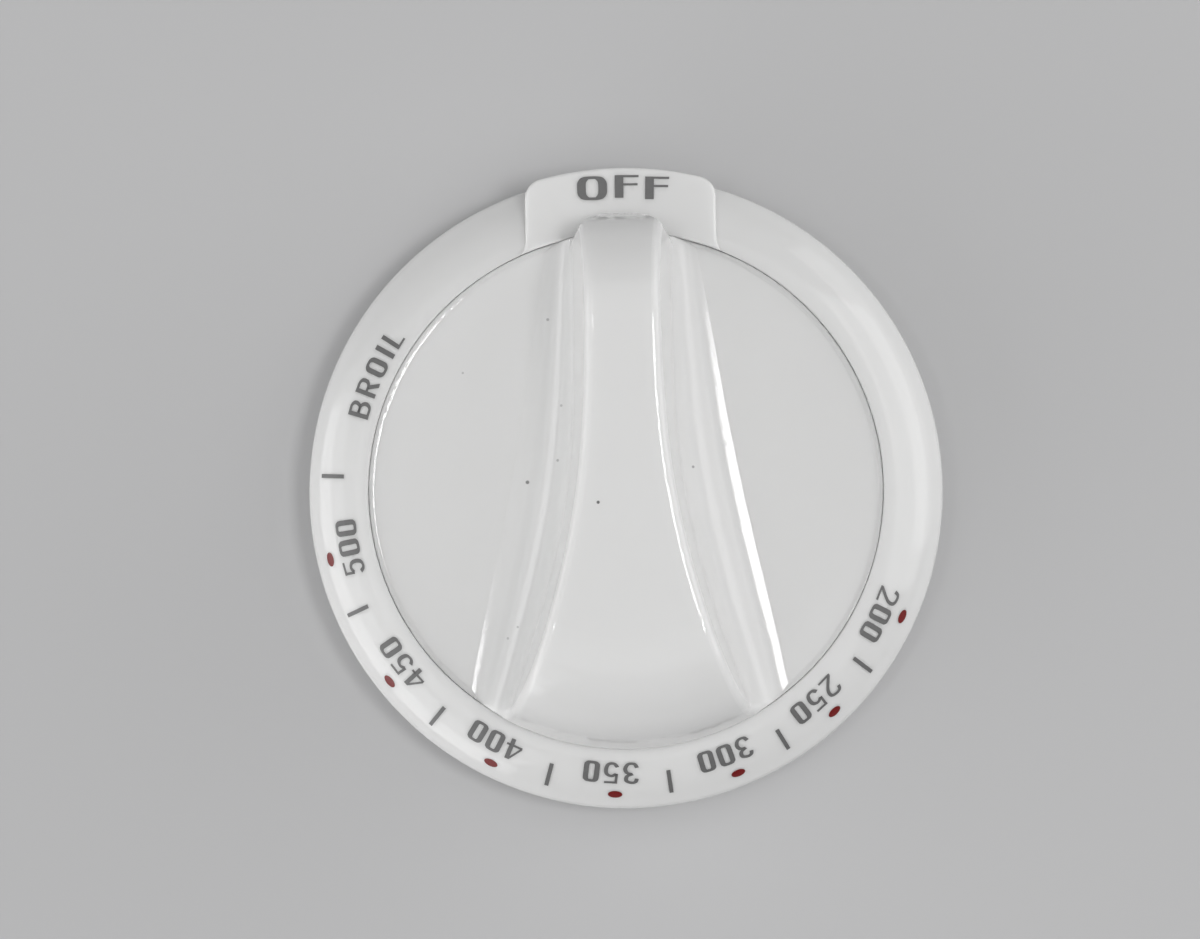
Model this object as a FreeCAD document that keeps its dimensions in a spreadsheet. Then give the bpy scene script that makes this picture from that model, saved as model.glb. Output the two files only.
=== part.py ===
import FreeCAD, Part
import math
import os
import types

import Sketcher
from FreeCAD import Vector

# Adjustable oven knob: a numbered skirt, the grip that turns on it, the spring clip
# round the grip's hub and the two screws that clamp grip and skirt together.
# Millimetres. +Z comes out of the knob's front, +Y points at the OFF tab, and the
# origin lies on the shaft axis in the plane of the skirt's back rim.

# Driving dimensions, in millimetres, degrees and counts.
SIZES = {
    # skirt shell and its printed ring
    "skirt_radius": 31.75,
    "ring_width": 6.35,
    "skirt_wall": 1.8,
    "wall_lean": 0.2,
    "face_height": 9.0,
    "face_drop": 3.8,
    "face_bow": 1.397,
    "shoulder_round": 1.2,
    "seam_round": 0.25,
    "seam_arc": 304.0,
    "tab_seam_arc": 44.0,
    # web inside the skirt, which carries the grip
    "web_top": 6.9,
    "web_thickness": 1.9,
    "web_hole_radius": 12.5,
    # raised tab for the OFF mark
    "tab_width": 18.9,
    "tab_reach": 0.25,
    "tab_rise": 0.4,
    "tab_slope": 10.0,
    "tab_corner": 2.0,
    "tab_flare": 2.4,
    "tab_edge": 0.3,
    # fit of the grip in the skirt, and the steps of its adjustment
    "seam_gap": 0.04,
    "seat_gap": 0.1,
    "click_angle": 4.8,
    "click_count": 6,
    "notch_depth": 0.5,
    "notch_width": 0.7,
    "pointer_gap": 0.3,
    "pointer_width": 3.2,
    # grip disc: its two floors and the low rim round them
    "pocket_depth": 0.3,
    "rim_rise": 0.12,
    "rim_round": 0.1,
    "rim_land": 0.1,
    "cove_reach": 0.4,
    # grip fin: half widths at five stations from the OFF end to the wide end
    "crest_height": 21.2,
    "fin_draft": 8.0,
    "foot_sink": 0.012,
    "station_centre": -1.0,
    "station_pitch": 15.0,
    "crest_half_nose": 2.8,
    "crest_half_front": 3.62,
    "crest_half_middle": 4.85,
    "crest_half_rear": 8.72,
    "crest_half_heel": 13.3,
    "foot_half_nose": 6.6,
    "foot_half_front": 9.4,
    "foot_half_middle": 12.1,
    "foot_half_rear": 15.3,
    "foot_half_heel": 16.8,
    "crest_round": 0.9,
    "dome_curve": 10.4,
    "dome_angle": 76.0,
    "dome_inset": 0.4,
    "nose_reach": 1.6,
    "nose_bluntness": 5.6,
    "nose_centre": 21.9,
    "nose_curve": 10.4,
    "nose_angle": 80.0,
    "nose_gap": 0.7,
    # inside of the grip
    "fin_wall": 2.0,
    "roof_thickness": 2.2,
    "rib_thickness": 1.6,
    # hub and shaft bore
    "hub_radius": 5.6,
    "hub_bottom": 0.8,
    "hub_top": 13.5,
    "shaft_diameter": 6.35,
    "shaft_flat": 2.3,
    "bore_clearance": 0.05,
    "bore_depth": 11.5,
    "lead_clearance": 0.35,
    "lead_depth": 3.0,
    "slit_width": 0.9,
    "slit_depth": 4.0,
    # spring clip
    "clip_seat": 0.35,
    "clip_fit": 0.05,
    "clip_thickness": 0.6,
    "clip_height": 3.4,
    "clip_offset": 1.0,
    "clip_angle": 300.0,
    # calibration screws
    "screw_circle": 18.0,
    "screw_diameter": 3.0,
    "screw_depth": 8.0,
    "screw_point": 1.2,
    "boss_radius": 3.2,
    "screw_room": 0.05,
    "slot_room": 0.3,
    "slot_end_angle": 1.5,
    "head_diameter": 6.2,
    "head_height": 2.1,
    "head_crown": 0.7,
    "recess_width": 0.9,
    "recess_length": 3.4,
    "recess_depth": 1.2,
}

# Overlap of a cutting outline past the solid that it cuts.
SPARE = 1.0
# Distance under which two points count as one.
CLOSE = 0.02
# Radius of a slot's rounded end over half the slot's width.
SLOT_BOW = 1.1


class Size:
    """A dimension that carries its number and its spreadsheet formula."""

    def __init__(self, value, text):
        self.value = value
        self.text = text

    @staticmethod
    def of(other):
        return other if isinstance(other, Size) else Size(float(other), repr(float(other)))

    def joined(self, sign, other, value):
        return Size(value, f"({self.text} {sign} {Size.of(other).text})")

    def __add__(self, other):
        return self.joined("+", other, self.value + Size.of(other).value)

    def __sub__(self, other):
        return self.joined("-", other, self.value - Size.of(other).value)

    def __mul__(self, other):
        return self.joined("*", other, self.value * Size.of(other).value)

    def __truediv__(self, other):
        return self.joined("/", other, self.value / Size.of(other).value)

    def __neg__(self):
        return Size(-self.value, f"(-1 * {self.text})")


def sine(angle):
    return Size(math.sin(math.radians(angle.value)), f"sin({angle.text})")


def cosine(angle):
    return Size(math.cos(math.radians(angle.value)), f"cos({angle.text})")


def tangent(angle):
    return Size(math.tan(math.radians(angle.value)), f"tan({angle.text})")


def root(square):
    return Size(math.sqrt(square.value), f"sqrt({square.text})")


def on_circle(radius, across):
    """Height of a circle about the origin at a distance across from its axis."""
    return root(radius * radius - across * across)


s = types.SimpleNamespace(**{name: Size(value, f"Sizes.{name}") for name, value in SIZES.items()})

# Levels and radii that several pieces share.
seam_radius = s.skirt_radius - s.ring_width
inner_edge = seam_radius + s.seam_gap
shoulder_radius = s.skirt_radius - s.wall_lean
shoulder_height = s.face_height - s.face_drop
face_run = shoulder_radius - inner_edge
face_curve = root(face_run * face_run + s.face_drop * s.face_drop) * s.face_bow
tab_radius = s.skirt_radius + s.tab_reach
tab_top = s.face_height + s.tab_rise
web_bottom = s.web_top - s.web_thickness
disc_bottom = s.web_top + s.seat_gap
floor_level = s.face_height - s.pocket_depth
rim_level = floor_level + s.rim_rise
root_level = disc_bottom + s.pocket_depth / 2
nose_bottom = tab_top + s.nose_gap
roof_level = s.crest_height - s.roof_thickness
turn_range = s.click_angle * s.click_count
far_out = s.skirt_radius + s.station_pitch
above_all = s.crest_height + SPARE * 3

doc = FreeCAD.newDocument("oven_knob")


def make_sheet():
    """Write the driving dimensions to the spreadsheet, one aliased cell each."""
    sheet = doc.addObject("Spreadsheet::Sheet", "Sizes")
    for row, (name, value) in enumerate(SIZES.items(), start=1):
        sheet.set(f"A{row}", name)
        sheet.set(f"B{row}", repr(value))
        sheet.setAlias(f"B{row}", name)
    doc.recompute()


def new_body(label):
    body = doc.addObject("PartDesign::Body", label)
    body.Label = label
    return body


def new_sketch(body, name, role, offset=None):
    """Start a sketch on one of the body's own origin planes, moved along its normal."""
    plane = next(item for item in body.Origin.OriginFeatures if item.Role == role)
    sketch = body.newObject("Sketcher::SketchObject", name)
    sketch.AttachmentSupport = (plane, [""])
    sketch.MapMode = "FlatFace"
    if offset is not None:
        sketch.setExpression("AttachmentOffset.Base.z", offset.text)
    return sketch


def bind(sketch, constraint, size):
    index = sketch.addConstraint(constraint)
    sketch.setExpression(f"Constraints[{index}]", size.text)


def hold(sketch, edge, end, point):
    """Fix a point of the sketch; a coordinate of None lies on that axis."""
    for axis, kind, coordinate in ((-2, "DistanceX", point[0]), (-1, "DistanceY", point[1])):
        if coordinate is None:
            sketch.addConstraint(Sketcher.Constraint("PointOnObject", edge, end, axis))
        else:
            bind(sketch, Sketcher.Constraint(kind, -1, 1, edge, end, coordinate.value), coordinate)


def placed(point):
    return Vector(*(0.0 if coordinate is None else coordinate.value for coordinate in point), 0.0)


def bowed(start, end, radius, turn):
    """Arc from start to end, counter-clockwise for a turn of 1 and clockwise for -1."""
    middle = (start + end) * 0.5
    chord = end - start
    rise = math.sqrt(max(radius ** 2 - chord.Length ** 2 / 4, 0.0))
    side = Vector(-chord.y, chord.x, 0) * (turn * rise / chord.Length)
    centre = middle + side
    first, last = (start, end) if turn > 0 else (end, start)
    angles = [math.atan2(p.y - centre.y, p.x - centre.x) for p in (first, last)]
    return Part.ArcOfCircle(Part.Circle(centre, Vector(0, 0, 1), radius), *angles)


def draw(sketch, corners, bows=None):
    """Draw a closed outline; bows maps an edge's number to its (radius, turn)."""
    bows = bows or {}
    ends = []
    for number, corner in enumerate(corners):
        start, end = placed(corner), placed(corners[(number + 1) % len(corners)])
        if number in bows:
            radius, turn = bows[number]
            sketch.addGeometry(bowed(start, end, radius.value, turn))
            ends.append((1, 2) if turn > 0 else (2, 1))
        else:
            sketch.addGeometry(Part.LineSegment(start, end))
            ends.append((1, 2))
    for number, corner in enumerate(corners):
        after = (number + 1) % len(corners)
        joint = Sketcher.Constraint("Coincident", number, ends[number][1], after, ends[after][0])
        sketch.addConstraint(joint)
        hold(sketch, number, ends[number][0], corner)
    for number, (radius, _) in bows.items():
        bind(sketch, Sketcher.Constraint("Radius", number, radius.value), radius)
    return sketch


def draw_circle(sketch, radius, across=None, along=None):
    """Draw a circle about the sketch's origin, or about a point of it."""
    centre = placed((across, along))
    number = sketch.addGeometry(Part.Circle(centre, Vector(0, 0, 1), radius.value))
    hold(sketch, number, 3, (across, along))
    bind(sketch, Sketcher.Constraint("Radius", number, radius.value), radius)
    return sketch


def rectangle(left, bottom, right, top):
    return [(left, bottom), (right, bottom), (right, top), (left, top)]


def turned(body, kind, name, sketch, angle=None):
    """Revolution or Groove about the sketch's vertical axis, even to both sides."""
    feature = body.newObject(f"PartDesign::{kind}", name)
    feature.Profile = sketch
    feature.ReferenceAxis = (sketch, ["V_Axis"])
    feature.Angle = 360.0
    if angle is not None:
        feature.Midplane = True
        feature.setExpression("Angle", angle.text)
    doc.recompute()
    return feature


def pushed(body, kind, name, sketch, length, upward=True, symmetric=False):
    """Pad or Pocket of a sketch over a length, upward or to both sides."""
    feature = body.newObject(f"PartDesign::{kind}", name)
    feature.Profile = sketch
    feature.setExpression("Length", length.text)
    if symmetric:
        feature.SideType = "Symmetric"
    else:
        feature.Reversed = upward == (kind == "Pocket")
    doc.recompute()
    return feature


def circled(body, name, original, sketch, count, angle=None):
    """Polar pattern about the shaft axis."""
    pattern = body.newObject("PartDesign::PolarPattern", name)
    pattern.Originals = [original]
    pattern.Axis = (sketch, ["N_Axis"])
    pattern.Angle = 360.0
    if angle is not None:
        pattern.setExpression("Angle", angle.text)
    pattern.setExpression("Occurrences", count.text)
    body.Tip = pattern
    doc.recompute()
    return pattern


def rounded(body, name, wanted, radius):
    """Fillet the edges of the body's tip that a test on edge and shape picks out."""
    base = body.Tip
    shape = base.Shape
    names = [f"Edge{n}" for n, edge in enumerate(shape.Edges, start=1) if wanted(edge, shape)]
    fillet = body.newObject("PartDesign::Fillet", name)
    fillet.Base = (base, names)
    fillet.setExpression("Radius", radius.text)
    doc.recompute()
    return fillet


def middle_of(edge):
    return edge.valueAt((edge.FirstParameter + edge.LastParameter) / 2)


def surfaces_at(edge, shape):
    return [face.Surface.TypeId for face in shape.ancestorsOfType(edge, Part.Face)]


def cone_edge(edge, shape):
    """Rim of the tab's sloping top, apart from its edge at the seam."""
    point = middle_of(edge)
    on_top = "Part::GeomCone" in surfaces_at(edge, shape)
    off_seam = math.hypot(point.x, point.y) > inner_edge.value + CLOSE
    return on_top and off_seam and point.z > tab_top.value - SIZES["face_drop"] / 2 and point.y > 0


def shoulder_edge(edge, shape):
    """Circle where the printed ring turns down into the skirt's outer wall."""
    point = middle_of(edge)
    at_shoulder = abs(math.hypot(point.x, point.y) - shoulder_radius.value) < SIZES["wall_lean"] / 4
    return at_shoulder and abs(point.z - shoulder_height.value) < SIZES["wall_lean"] / 4


def crest_edge(edge, shape):
    """Edge between a flank of the fin and its crest, dome or nose."""
    kinds = surfaces_at(edge, shape)
    on_flank = len(kinds) == 2 and kinds.count("Part::GeomBSplineSurface") == 1
    point = middle_of(edge)
    at_seam = abs(math.hypot(point.x, point.y) - seam_radius.value) < CLOSE
    return on_flank and not at_seam and point.z > nose_bottom.value + CLOSE


def tab_outline():
    """Plan of the tab: flared at the seam, round at its outer corners."""
    half = s.tab_width / 2
    flared = half + s.tab_flare
    seam = on_circle(inner_edge, flared)
    corner_across = half - s.tab_corner
    corner_along = on_circle(tab_radius - s.tab_corner, corner_across)
    outward = tab_radius / (tab_radius - s.tab_corner)
    right = [
        (flared, seam),
        (half, seam + s.tab_flare),
        (half, corner_along),
        (corner_across * outward, corner_along * outward),
    ]
    left = [(-x, y) for x, y in reversed(right)]
    bows = {
        0: (s.tab_flare, -1),
        2: (s.tab_corner, 1),
        3: (tab_radius, 1),
        4: (s.tab_corner, 1),
        6: (s.tab_flare, -1),
        7: (inner_edge, -1),
    }
    return right + left, bows


def seam_edge(top, way):
    """Space over the rounded inner edge of the ring, or of the tab, at the seam."""
    rounded_edge = inner_edge + s.seam_round
    low = top - s.seam_round
    corners = [
        (inner_edge, low),
        (rounded_edge, top),
        (rounded_edge, top + SPARE),
        (seam_radius, top + SPARE),
        (seam_radius, low),
    ]
    return [(x if way > 0 else -x, z) for x, z in corners], {0: (s.seam_round, -way)}


def slot_outline():
    """Arc slot that lets a screw follow the grip over its whole adjustment."""
    half = s.screw_diameter / 2 + s.slot_room
    span = turn_range + s.slot_end_angle
    inner = s.screw_circle - half
    outer = s.screw_circle + half
    corners = [
        (inner * sine(span), inner * cosine(span)),
        (outer * sine(span), outer * cosine(span)),
        (-(outer * sine(span)), outer * cosine(span)),
        (-(inner * sine(span)), inner * cosine(span)),
    ]
    cap = half * SLOT_BOW
    return corners, {0: (cap, 1), 1: (outer, 1), 2: (cap, 1), 3: (inner, -1)}


def notch_outline():
    """First click notch, at the clockwise end of the adjustment."""
    mouth = s.web_hole_radius - s.notch_depth
    tip = s.web_hole_radius + s.notch_depth
    across, along = cosine(turn_range), sine(turn_range)

    def swung(out, aside):
        return (out * across + aside * along, aside * across - out * along)

    return [swung(mouth, -s.notch_width), swung(tip, Size.of(0)), swung(mouth, s.notch_width)]


def make_skirt():
    body = new_body("dial_skirt")
    blank = new_sketch(body, "SkirtBlankProfile", "XZ_Plane")
    draw(blank, [
        (s.web_hole_radius, None),
        (s.skirt_radius, None),
        (shoulder_radius, shoulder_height),
        (inner_edge, s.face_height),
        (inner_edge, s.web_top),
        (s.web_hole_radius, s.web_top),
    ], {2: (face_curve, 1)})
    turned(body, "Revolution", "SkirtBlank", blank)
    rounded(body, "SkirtShoulder", shoulder_edge, s.shoulder_round)

    pushed(body, "Pad", "OffTab", draw(new_sketch(body, "TabPlan", "XY_Plane"), *tab_outline()), tab_top)
    slope_end = tab_radius + SPARE
    slope = new_sketch(body, "TabSlopeProfile", "XZ_Plane")
    draw(slope, [
        (inner_edge, tab_top),
        (slope_end, tab_top - (slope_end - inner_edge) * tangent(s.tab_slope)),
        (slope_end, tab_top + SPARE),
        (inner_edge, tab_top + SPARE),
    ])
    turned(body, "Groove", "TabSlope", slope)
    rounded(body, "TabEdge", cone_edge, s.tab_edge)
    seam = draw(new_sketch(body, "SeamEdgeProfile", "YZ_Plane"), *seam_edge(s.face_height, -1))
    turned(body, "Groove", "SeamEdge", seam, s.seam_arc)
    tab_seam = draw(new_sketch(body, "TabSeamProfile", "YZ_Plane"), *seam_edge(tab_top, 1))
    turned(body, "Groove", "TabSeam", tab_seam, s.tab_seam_arc)

    hollow_radius = inner_edge + s.skirt_wall
    hollow = new_sketch(body, "SkirtHollowProfile", "XZ_Plane")
    draw(hollow, [
        (s.web_hole_radius - SPARE, Size.of(-SPARE)),
        (s.skirt_radius - s.skirt_wall, Size.of(-SPARE)),
        (shoulder_radius - s.skirt_wall, shoulder_height),
        (hollow_radius, s.web_top),
        (hollow_radius, web_bottom),
        (s.web_hole_radius - SPARE, web_bottom),
    ])
    turned(body, "Groove", "SkirtHollow", hollow)

    slot_plan = draw(new_sketch(body, "ScrewSlotPlan", "XY_Plane"), *slot_outline())
    slot = pushed(body, "Pocket", "ScrewSlot", slot_plan, s.web_top + SPARE)
    circled(body, "ScrewSlots", slot, slot_plan, Size.of(2))
    notch_plan = draw(new_sketch(body, "ClickNotchPlan", "XY_Plane"), notch_outline())
    notch = pushed(body, "Pocket", "ClickNotch", notch_plan, s.web_top + SPARE)
    circled(body, "ClickNotches", notch, notch_plan, s.click_count * 2 + 1, turn_range * 2)
    return body


def fin_section(body, name, station, crest_half, foot_half):
    """Cross-section of the fin: drafted flanks that run into the floor in a cove."""
    foot = floor_level - s.foot_sink
    lean = tangent(s.fin_draft)
    stock = Size.of(SPARE)
    cove = (foot_half - crest_half - (s.crest_height - foot) * lean) * cosine(s.fin_draft)
    cove = cove / (Size.of(1) - sine(s.fin_draft))
    touch = (foot_half - cove * cosine(s.fin_draft), foot + cove - cove * sine(s.fin_draft))
    top_half = crest_half - stock * lean
    right = [
        (foot_half, root_level),
        (foot_half, foot),
        touch,
        (top_half, s.crest_height + stock),
    ]
    left = [(-x, z) for x, z in reversed(right)]
    sketch = new_sketch(body, name, "XZ_Plane", -station)
    return draw(sketch, right + left, {1: (cove, -1), 5: (cove, -1)})


def fall_outline(start, curve, angle, way):
    """Space above the crest to one end: level, then an arc, then straight down its slope."""
    arc_end = start + curve * sine(angle)
    arc_low = s.crest_height - curve * (Size.of(1) - cosine(angle))
    foot = disc_bottom - SPARE
    foot_end = arc_end + (arc_low - foot) / tangent(angle)
    corners = [
        (None, s.crest_height),
        (start, s.crest_height),
        (arc_end, arc_low),
        (foot_end, foot),
        (far_out, foot),
        (far_out, above_all),
        (None, above_all),
    ]
    turned_way = [(x if x is None or way > 0 else -x, z) for x, z in corners]
    return turned_way, {1: (curve, -way)}


def core_section(body, name, station, crest_half):
    """Cross-section of the hollow inside the fin."""
    lean = tangent(s.fin_draft)
    top_half = crest_half + s.roof_thickness * lean - s.fin_wall / cosine(s.fin_draft)
    mouth = disc_bottom - SPARE
    mouth_half = top_half + (roof_level - mouth) * lean
    corners = [(-mouth_half, mouth), (mouth_half, mouth), (top_half, roof_level), (-top_half, roof_level)]
    return draw(new_sketch(body, name, "XZ_Plane", -station), corners)


def lofted(body, kind, name, sections):
    loft = body.newObject(f"PartDesign::{kind}", name)
    loft.Profile = sections[0]
    loft.Sections = sections[1:]
    doc.recompute()
    return loft


def add_fin(body):
    """Loft the fin, dome its wide end, round its nose and trim it to the seam."""
    pitch = s.station_pitch
    sections = [
        fin_section(body, "FinNose", s.station_centre + pitch * 2, s.crest_half_nose, s.foot_half_nose),
        fin_section(body, "FinFront", s.station_centre + pitch, s.crest_half_front, s.foot_half_front),
        fin_section(body, "FinMiddle", s.station_centre, s.crest_half_middle, s.foot_half_middle),
        fin_section(body, "FinRear", s.station_centre - pitch, s.crest_half_rear, s.foot_half_rear),
        fin_section(body, "FinHeel", s.station_centre - pitch * 2, s.crest_half_heel, s.foot_half_heel),
    ]
    lofted(body, "AdditiveLoft", "Fin", sections)

    dome = new_sketch(body, "HeelDomeProfile", "YZ_Plane")
    dome_start = seam_radius - s.dome_inset - s.dome_curve
    draw(dome, *fall_outline(dome_start, s.dome_curve, s.dome_angle, -1))
    turned(body, "Groove", "HeelDome", dome, Size.of(180))
    nose = new_sketch(body, "NoseProfile", "YZ_Plane")
    nose_start = seam_radius + s.nose_reach - s.nose_curve
    draw(nose, *fall_outline(nose_start, s.nose_curve, s.nose_angle, 1))
    pushed(body, "Pocket", "Nose", nose, far_out * 2, symmetric=True)
    corners = new_sketch(body, "NoseCornerPlan", "XY_Plane", nose_bottom)
    draw(corners, [
        (s.nose_bluntness, s.nose_centre),
        (far_out, s.nose_centre),
        (far_out, far_out),
        (-far_out, far_out),
        (-far_out, s.nose_centre),
        (-s.nose_bluntness, s.nose_centre),
        (None, s.nose_centre + s.nose_bluntness),
    ], {5: (s.nose_bluntness, -1), 6: (s.nose_bluntness, -1)})
    pushed(body, "Pocket", "NoseCorners", corners, above_all - nose_bottom)
    trim = new_sketch(body, "SeamTrimProfile", "XZ_Plane")
    draw(trim, rectangle(seam_radius, disc_bottom - SPARE, far_out, nose_bottom))
    turned(body, "Groove", "SeamTrim", trim)
    rounded(body, "CrestRound", crest_edge, s.crest_round)


def add_inside(body):
    """Core the fin from behind and stand hub, rib, screw bosses and pointer in the hollow."""
    pitch = s.station_pitch
    front, rear = s.station_centre + pitch, s.station_centre - pitch
    lofted(body, "SubtractiveLoft", "FinCore", [
        core_section(body, "CoreFront", front, s.crest_half_front),
        core_section(body, "CoreMiddle", s.station_centre, s.crest_half_middle),
        core_section(body, "CoreRear", rear, s.crest_half_rear),
    ])
    hub = draw_circle(new_sketch(body, "HubPlan", "XY_Plane", s.hub_bottom), s.hub_radius)
    pushed(body, "Pad", "Hub", hub, s.hub_top - s.hub_bottom)
    half = s.rib_thickness / 2
    overlap = s.fin_wall / 2
    rib = new_sketch(body, "RibPlan", "XY_Plane", disc_bottom)
    draw(rib, rectangle(-half, rear - overlap, half, front + overlap))
    pushed(body, "Pad", "Rib", rib, roof_level + s.roof_thickness / 2 - disc_bottom)
    bosses = new_sketch(body, "BossPlan", "XY_Plane", disc_bottom)
    for place in (s.screw_circle, -s.screw_circle):
        draw_circle(bosses, s.boss_radius, None, place)
    pushed(body, "Pad", "ScrewBosses", bosses, s.screw_depth + s.fin_wall)
    tip = s.web_hole_radius - s.pointer_gap - s.notch_depth
    base = s.hub_radius - s.clip_seat
    pointer = new_sketch(body, "PointerPlan", "XY_Plane", web_bottom)
    draw(pointer, [(base, -s.pointer_width / 2), (tip, None), (base, s.pointer_width / 2)])
    pushed(body, "Pad", "Pointer", pointer, root_level - web_bottom)


def add_bore(body):
    """Cut the shaft bore, the hub's slit, the clip's seat and the screw holes."""
    radius = s.shaft_diameter / 2
    lead = draw_circle(new_sketch(body, "LeadPlan", "XY_Plane", s.hub_bottom), radius + s.lead_clearance)
    pushed(body, "Pocket", "LeadBore", lead, s.lead_depth)
    bore = radius + s.bore_clearance
    flat = on_circle(bore, s.shaft_flat)
    key = new_sketch(body, "KeyPlan", "XY_Plane", s.hub_bottom)
    draw(key, [(-flat, -s.shaft_flat), (flat, -s.shaft_flat), (None, bore)], {1: (bore, 1), 2: (bore, 1)})
    pushed(body, "Pocket", "KeyBore", key, s.bore_depth)
    reach = s.hub_radius + SPARE
    half = s.slit_width / 2
    slit = new_sketch(body, "SlitPlan", "XY_Plane", s.hub_bottom)
    draw(slit, rectangle(-reach, -half, reach, half))
    pushed(body, "Pocket", "HubSlit", slit, s.slit_depth)
    seat = new_sketch(body, "ClipSeatProfile", "XZ_Plane")
    low = s.hub_bottom + s.clip_offset
    draw(seat, rectangle(s.hub_radius - s.clip_seat, low - s.clip_fit, reach,
                         low + s.clip_height + s.clip_fit))
    turned(body, "Groove", "ClipSeat", seat)
    holes = new_sketch(body, "ScrewHolePlan", "XY_Plane", disc_bottom)
    for place in (s.screw_circle, -s.screw_circle):
        draw_circle(holes, s.screw_diameter / 2 + s.screw_room, None, place)
    pushed(body, "Pocket", "ScrewHoles", holes, s.screw_depth + s.screw_room * 4)


def make_grip():
    body = new_body("grip")
    rim = seam_radius - s.rim_round
    land = rim - s.rim_land
    cove = (s.cove_reach * s.cove_reach + s.rim_rise * s.rim_rise) / (s.rim_rise * 2)
    disc = new_sketch(body, "DiscProfile", "XZ_Plane")
    draw(disc, [
        (None, disc_bottom),
        (seam_radius, disc_bottom),
        (seam_radius, rim_level - s.rim_round),
        (rim, rim_level),
        (land, rim_level),
        (land - s.cove_reach, floor_level),
        (None, floor_level),
    ], {2: (s.rim_round, 1), 4: (cove, -1)})
    turned(body, "Revolution", "Disc", disc)
    add_fin(body)
    add_inside(body)
    add_bore(body)
    return body


def make_clip():
    """C-shaped spring steel band in the seat round the split hub."""
    body = new_body("hub_spring_clip")
    inner = s.hub_radius - s.clip_seat + s.clip_fit
    low = s.hub_bottom + s.clip_offset
    band = new_sketch(body, "ClipProfile", "XZ_Plane")
    draw(band, rectangle(inner, low, inner + s.clip_thickness, low + s.clip_height))
    turned(body, "Revolution", "ClipBand", band, s.clip_angle)
    return body


def make_screws():
    """Two pan-head screws, opposite each other in the ends of the fin."""
    body = new_body("calibration_screw")
    shank = s.screw_diameter / 2
    seat = web_bottom - s.seat_gap
    head_low = seat - s.head_height
    head = s.head_diameter / 2
    crown = (head * head + s.head_crown * s.head_crown) / (s.head_crown * 2)
    tip = disc_bottom + s.screw_depth
    profile = new_sketch(body, "ScrewProfile", "XZ_Plane", -s.screw_circle)
    draw(profile, [
        (None, head_low),
        (head, head_low + s.head_crown),
        (head, seat),
        (shank, seat),
        (shank, tip - s.screw_point),
        (None, tip),
    ], {0: (crown, 1)})
    turned(body, "Revolution", "ScrewBlank", profile)
    half, long_half = s.recess_width / 2, s.recess_length / 2
    for name, wide, deep in (("RecessAcross", long_half, half), ("RecessAlong", half, long_half)):
        plan = new_sketch(body, f"{name}Plan", "XY_Plane", head_low)
        draw(plan, rectangle(-wide, s.screw_circle - deep, wide, s.screw_circle + deep))
        pushed(body, "Pocket", name, plan, s.recess_depth)
    other = doc.addObject("Part::Mirroring", "opposite_screw")
    other.Source = body
    other.Normal = Vector(0, 1, 0)
    pair = doc.addObject("Part::Compound", "calibration_screws")
    pair.Links = [body, other]
    return pair


def export(pieces):
    """Check every object of the document, then write one STEP file for each piece."""
    doc.recompute()
    for item in doc.Objects:
        if "Invalid" in item.State or "Error" in item.State:
            raise RuntimeError(f"{item.Label} did not build: {item.State}")
    for piece in pieces:
        if piece.Shape.isNull() or not piece.Shape.isValid():
            raise RuntimeError(f"{piece.Label} has no sound solid")
    os.makedirs("parts", exist_ok=True)
    for piece in pieces:
        box = piece.Shape.optimalBoundingBox(False)
        print(f"{piece.Label}: {len(piece.Shape.Solids)} solid, {piece.Shape.Volume:.1f} mm3, "
              f"z {box.ZMin:.2f} to {box.ZMax:.2f}")
        piece.Shape.exportStep(os.path.join("parts", f"{piece.Label}.step"))


make_sheet()
export([make_skirt(), make_grip(), make_clip(), make_screws()])
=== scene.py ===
import logging
import math
from collections.abc import Callable
from dataclasses import dataclass
from enum import Enum
from typing import ClassVar

import bpy
from mathutils import Matrix, Vector


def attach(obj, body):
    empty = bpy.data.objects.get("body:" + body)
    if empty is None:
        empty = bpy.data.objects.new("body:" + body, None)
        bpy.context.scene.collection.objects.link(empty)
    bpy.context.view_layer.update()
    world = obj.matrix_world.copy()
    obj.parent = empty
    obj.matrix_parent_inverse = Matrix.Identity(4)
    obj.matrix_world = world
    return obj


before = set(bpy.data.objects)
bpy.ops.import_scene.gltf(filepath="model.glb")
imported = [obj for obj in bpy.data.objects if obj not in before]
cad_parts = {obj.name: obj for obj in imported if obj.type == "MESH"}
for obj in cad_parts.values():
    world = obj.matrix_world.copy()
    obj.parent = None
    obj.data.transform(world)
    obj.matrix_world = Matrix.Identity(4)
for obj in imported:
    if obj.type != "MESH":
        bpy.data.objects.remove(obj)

# Looks of an adjustable oven knob: its white mouldings, the printed scale, the steel
# parts behind, the floor it lies on, the studio light and the camera.
# Metres in the part's frame: +Z out of the front, +Y to the OFF tab. Angles round the
# dial are in degrees clockwise from the OFF tab, as seen from the front.

MM = 0.001
# Range that a noise mostly keeps to, stretched over a finish's range of roughness.
NOISE_SPAN = (0.3, 0.7)

log = logging.getLogger("oven_knob")

Point = tuple[float, float]
Colour = tuple[float, float, float]
Sockets = dict[str, bpy.types.NodeSocket]


class Node(Enum):
    """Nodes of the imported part."""

    DIAL_SKIRT = "dial_skirt"
    GRIP = "grip"
    SPRING_CLIP = "hub_spring_clip"
    SCREWS = "calibration_screws"


class Body(Enum):
    """Rigid bodies that added pieces ride on."""

    SKIRT = "skirt"


class Slot(Enum):
    """Material slots of the part's record; no piece in this script is given one."""

    SKIRT = "skirt_plastic"


def dial_matrix(angle: float) -> Matrix:
    """Give the turn that brings the OFF direction to an angle of the dial.

    Args:
        angle: Degrees clockwise from the OFF tab.

    Returns:
        The rotation about the shaft axis.
    """
    return Matrix.Rotation(-math.radians(angle), 4, "Z")


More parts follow.
